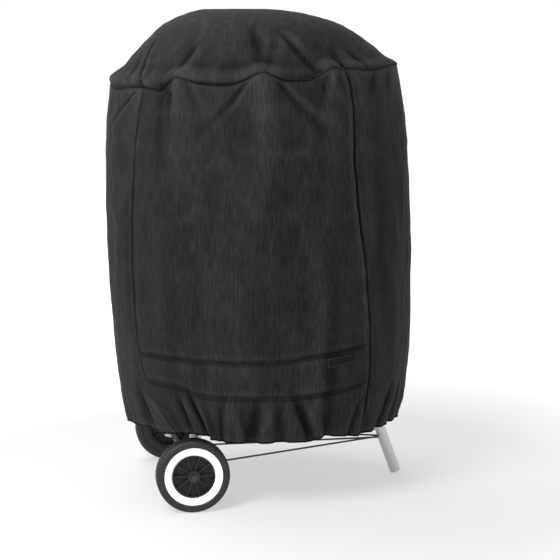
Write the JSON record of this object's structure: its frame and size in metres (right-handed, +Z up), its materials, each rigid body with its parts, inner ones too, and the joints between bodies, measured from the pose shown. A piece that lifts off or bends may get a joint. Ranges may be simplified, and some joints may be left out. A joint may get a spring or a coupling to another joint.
{
  "type": "grill cover on a kettle grill",
  "caption": "Elastic-hemmed fabric cover fitted over a round charcoal kettle grill with wheels on one side and a plain leg on the other; the cover lifts off.",
  "frame": {"origin": "on the floor under the middle of the kettle", "axes": "+Z up, +X towards the plain leg, the wheel axle along Y with the front wheel on the -Y side"},
  "size_m": [0.665, 0.665, 1.0282],
  "materials": {
    "cover_cloth": "matt woven polyester",
    "binding_tape": "matt woven tape",
    "elastic": "knitted elastic",
    "label_weave": "close satin weave",
    "black_enamel": "gloss enamel",
    "handle_plastic": "matt",
    "bright_steel": "brushed",
    "plated_wire": "plated",
    "aluminium_sheet": "mill finish",
    "leg_aluminium": "satin",
    "rack_wire": "satin",
    "cap_plastic": "satin",
    "wheel_black": "matt",
    "wheel_white": "satin"
  },
  "bodies": {
    "kettle": {"bowl": "black_enamel", "lid": "black_enamel", "lid_handle": "handle_plastic", "handle_bracket": "bright_steel", "handle_screws": "bright_steel", "damper_rivet": "bright_steel", "cooking_grate": "plated_wire", "charcoal_grate": "plated_wire", "grate_tabs": "black_enamel", "sweep_washer": "bright_steel", "ash_pan": "aluminium_sheet", "pan_clips": "bright_steel", "leg_sockets": "black_enamel", "plain_leg": "leg_aluminium", "wheel_leg_front": "leg_aluminium", "wheel_leg_back": "leg_aluminium", "leg_rack": "rack_wire", "axle": "bright_steel", "axle_caps": "cap_plastic"},
    "cover": {"crown_panel": "cover_cloth", "front_panel": "cover_cloth", "right_panel": "cover_cloth", "back_panel": "cover_cloth", "left_panel": "cover_cloth", "crown_seam_tape": "binding_tape", "seam_tape_front_right": "binding_tape", "seam_tape_back_right": "binding_tape", "seam_tape_back_left": "binding_tape", "seam_tape_front_left": "binding_tape", "front_band": "binding_tape", "hem_casing": "cover_cloth", "hem_elastic": "elastic", "woven_label": "label_weave"},
    "damper": {"lid_damper": "aluminium_sheet"},
    "sweep": {"ash_sweep": "aluminium_sheet", "sweep_lever": "aluminium_sheet"},
    "wheel_front": {"tyre_front": "wheel_black", "white_ring_front": "wheel_white", "hub_front": "wheel_black"},
    "wheel_back": {"tyre_back": "wheel_black", "white_ring_back": "wheel_white", "hub_back": "wheel_black"}
  },
  "joints": [
    {"name": "cover_lift", "type": "slide", "parent": "kettle", "child": "cover", "axis": [0, 0, 1], "range_m": [0, 0.9]},
    {"name": "wheel_front_spin", "type": "hinge", "parent": "kettle", "child": "wheel_front", "pos_m": [-0.17295, -0.22182, 0.076], "axis": [0, 1, 0], "continuous": true},
    {"name": "wheel_back_spin", "type": "hinge", "parent": "kettle", "child": "wheel_back", "pos_m": [-0.17295, 0.22182, 0.076], "axis": [0, 1, 0], "continuous": true},
    {"name": "lid_damper_turn", "type": "hinge", "parent": "kettle", "child": "damper", "pos_m": [0.0625, 0.10825, 0.93024], "axis": [0.1798, 0.3114, 0.9331], "range_deg": [0, 45]},
    {"name": "ash_sweep_turn", "type": "hinge", "parent": "kettle", "child": "sweep", "pos_m": [0, 0, 0.48], "axis": [0, 0, 1], "range_deg": [-30, 60]}
  ]
}
